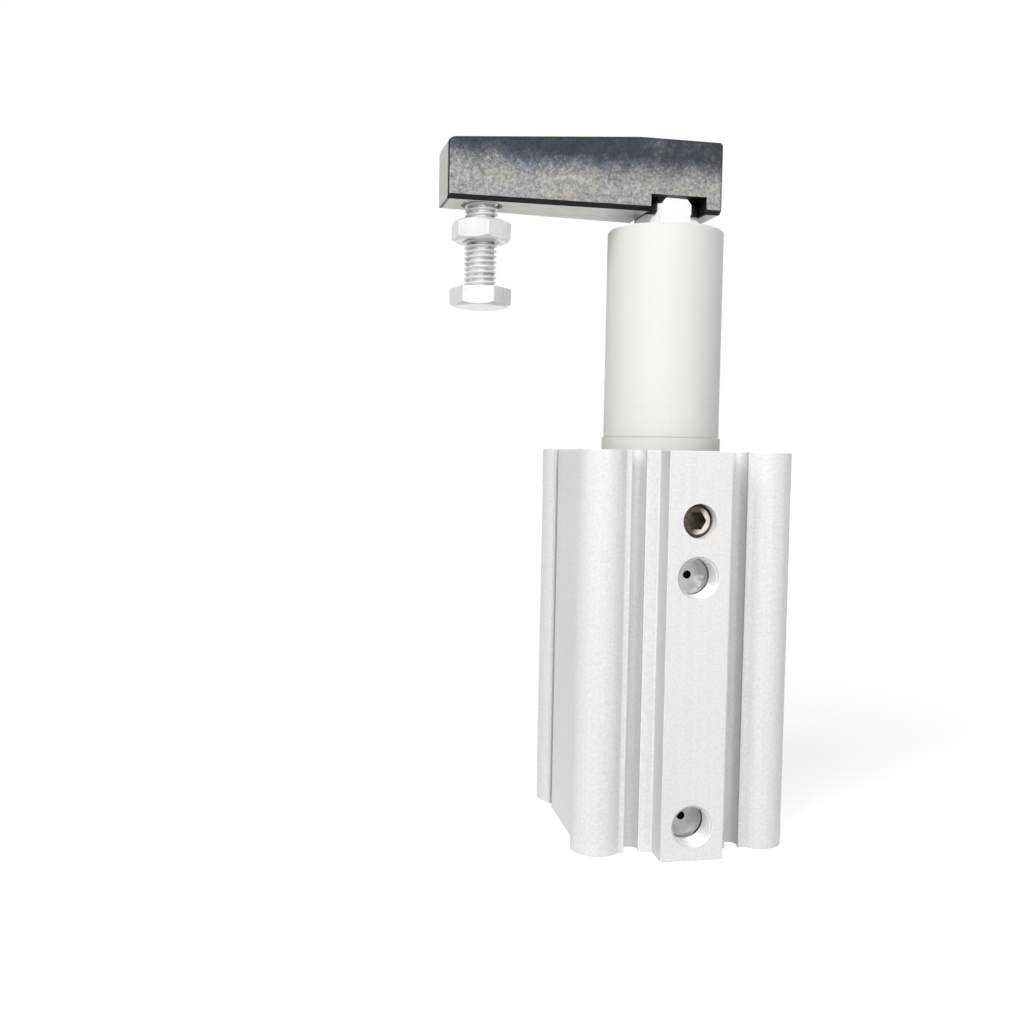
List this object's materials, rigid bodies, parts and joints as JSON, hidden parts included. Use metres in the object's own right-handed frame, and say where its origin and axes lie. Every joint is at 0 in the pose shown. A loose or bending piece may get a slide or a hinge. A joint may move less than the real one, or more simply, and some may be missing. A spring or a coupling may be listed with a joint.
{
  "type": "swing clamp cylinder",
  "caption": "Compact pneumatic cylinder with a tall neck whose rod turns a clamp arm as it rises; the arm carries a hexagon clamp bolt, head down, with a lock nut.",
  "frame": {"origin": "on the rod axis, in the mounting face at the head end of the tube", "axes": "+Z along the rod towards the arm; -Y out of the port panel; -X from the rod to the tip of the clamp arm in the clamped position, within 3.5 degrees"},
  "size_m": [0.083, 0.057, 0.1702],
  "materials": {
    "tube_aluminium": "satin, clear anodised extrusion",
    "cover_aluminium": "fine turned, hard anodised light grey",
    "plate_aluminium": "turned",
    "piston_aluminium": "turned",
    "rod_chrome": "hard chromed and ground",
    "arm_steel": "blackened rough casting",
    "zinc_steel": "bright zinc plate",
    "black_steel": "black oxide",
    "pin_steel": "ground",
    "set_screw_steel": "dark yellowish",
    "bearing_bronze": "sintered",
    "seal_rubber": "matt",
    "bumper_rubber": "polyurethane",
    "wear_plastic": "plain",
    "magnet": "plastic-bonded magnet"
  },
  "bodies": {
    "housing": {"cylinder_tube": "tube_aluminium", "rod_cover": "cover_aluminium", "retaining_ring": "black_steel", "cover_oring": "seal_rubber", "bottom_plate": "plate_aluminium", "bottom_oring": "seal_rubber", "head_bumper": "bumper_rubber", "rod_bumper": "bumper_rubber", "rod_bushing": "bearing_bronze", "rod_seal": "seal_rubber", "seal_retainer": "plate_aluminium", "scraper": "seal_rubber", "guide_pin": "pin_steel", "pin_set_screw": "set_screw_steel"},
    "piston_seals": {"wear_ring": "wear_plastic", "piston_seal": "seal_rubber"},
    "rod": {"piston": "piston_aluminium", "magnet_ring": "magnet", "magnet_plate": "piston_aluminium", "piston_rod": "rod_chrome", "clamp_arm": "arm_steel", "arm_screw": "black_steel", "spring_washer": "black_steel"},
    "clamp_bolt": {"clamp_bolt": "zinc_steel"},
    "lock_nut": {"lock_nut": "zinc_steel"}
  },
  "joints": [
    {"name": "rod_stroke", "type": "slide", "parent": "housing", "child": "piston_seals", "axis": [0, 0, 1], "range_m": [0, 0.035]},
    {"name": "swing", "type": "hinge", "parent": "piston_seals", "child": "rod", "pos_m": [0, 0, 0.1], "axis": [0, 0, 1], "range_deg": [0, 90]},
    {"name": "clamp_bolt_height", "type": "slide", "parent": "rod", "child": "clamp_bolt", "axis": [0, 0, 1], "range_m": [-0.008, 0.008]},
    {"name": "lock_nut_height", "type": "slide", "parent": "rod", "child": "lock_nut", "axis": [0, 0, 1], "range_m": [-0.002, 0.0036]}
  ]
}
